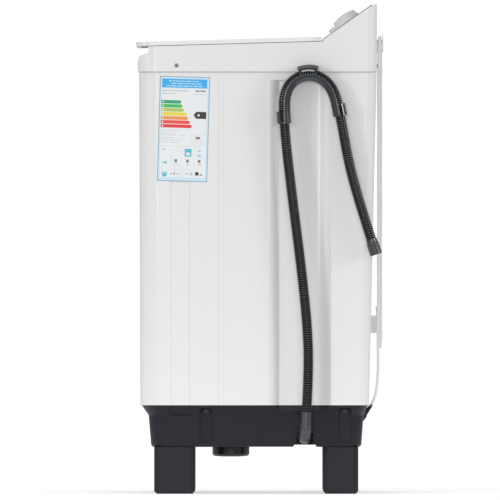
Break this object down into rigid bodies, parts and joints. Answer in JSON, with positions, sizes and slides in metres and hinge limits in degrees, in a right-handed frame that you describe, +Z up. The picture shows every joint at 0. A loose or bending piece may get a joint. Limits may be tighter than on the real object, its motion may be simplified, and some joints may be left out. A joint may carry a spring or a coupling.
{
  "type": "top load washing machine",
  "caption": "Free-standing top load washing machine with a hinged lid, sloping console and timer knob, a legged base, and a corrugated drain hose hung on its side.",
  "frame": {"origin": "on the floor, under the middle of the machine without its hose and cord", "axes": "+Z up, -Y towards the front where the lid opens, +X towards the side that carries the drain hose"},
  "size_m": [0.5195, 0.476, 0.9401],
  "materials": {
    "white_plastic": "satin moulded polypropylene",
    "lid_plastic": "satin moulded polypropylene",
    "panel_grey": "printed film, satin",
    "charcoal_plastic": "satin moulded polypropylene",
    "tub_plastic": "polished moulded polypropylene",
    "agitator_plastic": "satin moulded polypropylene",
    "zinc_steel": "zinc plated",
    "painted_motor": "baked enamel",
    "laminated_steel": "varnished laminations",
    "bronze": "oiled sintered bronze",
    "cast_aluminium": "die cast",
    "fan_plastic": "glossy nylon",
    "black_rubber": "matt",
    "capacitor_case": "drawn can",
    "harness_sleeve": "sleeved wires",
    "timer_case": "moulded nylon",
    "knob_plastic": "satin",
    "filter_plastic": "moulded frame with a fine mesh",
    "label_film": "printed film",
    "hose_plastic": "corrugated, satin",
    "guide_plastic": "glossy",
    "cord_pvc": "grey PVC"
  },
  "bodies": {
    "cabinet": {"cabinet": "white_plastic", "top_frame": "white_plastic", "control_panel": "panel_grey", "base": "charcoal_plastic", "foot_front_left": "charcoal_plastic", "foot_front_right": "charcoal_plastic", "foot_rear_left": "charcoal_plastic", "foot_rear_right": "charcoal_plastic", "foot_screws": "zinc_steel", "base_screws": "zinc_steel", "top_frame_screws": "zinc_steel", "panel_screws": "zinc_steel", "wash_tub": "tub_plastic", "bearing_housing": "cast_aluminium", "shaft_bushes": "bronze", "shaft_seal": "black_rubber", "bearing_bolts": "zinc_steel", "chassis_plate": "zinc_steel", "chassis_bolts": "zinc_steel", "motor_mounts": "black_rubber", "motor_housing": "painted_motor", "motor_stator": "laminated_steel", "motor_bolts": "zinc_steel", "capacitor": "capacitor_case", "capacitor_clamp": "zinc_steel", "drive_belt": "black_rubber", "drain_grille": "tub_plastic", "drain_pipe": "black_rubber", "timer_body": "timer_case", "wiring_harness": "harness_sleeve", "filter_holder": "filter_plastic", "lid_bumpers": "black_rubber", "energy_label": "label_film", "cord_hook_upper": "white_plastic", "cord_hook_lower": "white_plastic", "cord_hook_screws": "zinc_steel", "cord_strain_relief": "black_rubber", "hose_elbow": "hose_plastic", "drain_hose": "hose_plastic", "hose_guide": "guide_plastic", "hose_cuff": "hose_plastic", "power_cord": "cord_pvc", "power_plug": "cord_pvc"},
    "lid": {"lid": "lid_plastic", "lid_hinge_pins": "zinc_steel"},
    "agitator": {"agitator": "agitator_plastic", "agitator_cap": "agitator_plastic", "agitator_shaft": "zinc_steel", "drive_pulley": "cast_aluminium", "pulley_nut": "zinc_steel"},
    "motor_rotor": {"motor_rotor": "laminated_steel", "motor_pulley": "cast_aluminium", "motor_fan": "fan_plastic"},
    "timer_knob": {"timer_knob": "knob_plastic", "timer_spindle": "zinc_steel"},
    "lint_filter": {"lint_filter": "filter_plastic"}
  },
  "joints": [
    {"name": "lid_hinge", "type": "hinge", "parent": "cabinet", "child": "lid", "pos_m": [0, 0.116, 0.874], "axis": [-1, 0, 0], "range_deg": [0, 100]},
    {"name": "agitator_spin", "type": "hinge", "parent": "cabinet", "child": "agitator", "pos_m": [0, -0.028, 0.238], "axis": [0, 0, 1], "continuous": true},
    {"name": "motor_spin", "type": "hinge", "parent": "cabinet", "child": "motor_rotor", "pos_m": [0.112, -0.056, 0.104], "axis": [0, 0, 1], "continuous": true},
    {"name": "timer_turn", "type": "hinge", "parent": "cabinet", "child": "timer_knob", "pos_m": [0.095, 0.16945, 0.90605], "axis": [0, 0.5754, -0.8179], "range_deg": [0, 330]},
    {"name": "filter_lift", "type": "slide", "parent": "cabinet", "child": "lint_filter", "axis": [0, 0, 1], "range_m": [0, 0.1]}
  ],
  "couplings": [
    {"joint": "motor_spin", "follows": "agitator_spin", "ratio": 3.6683}
  ]
}
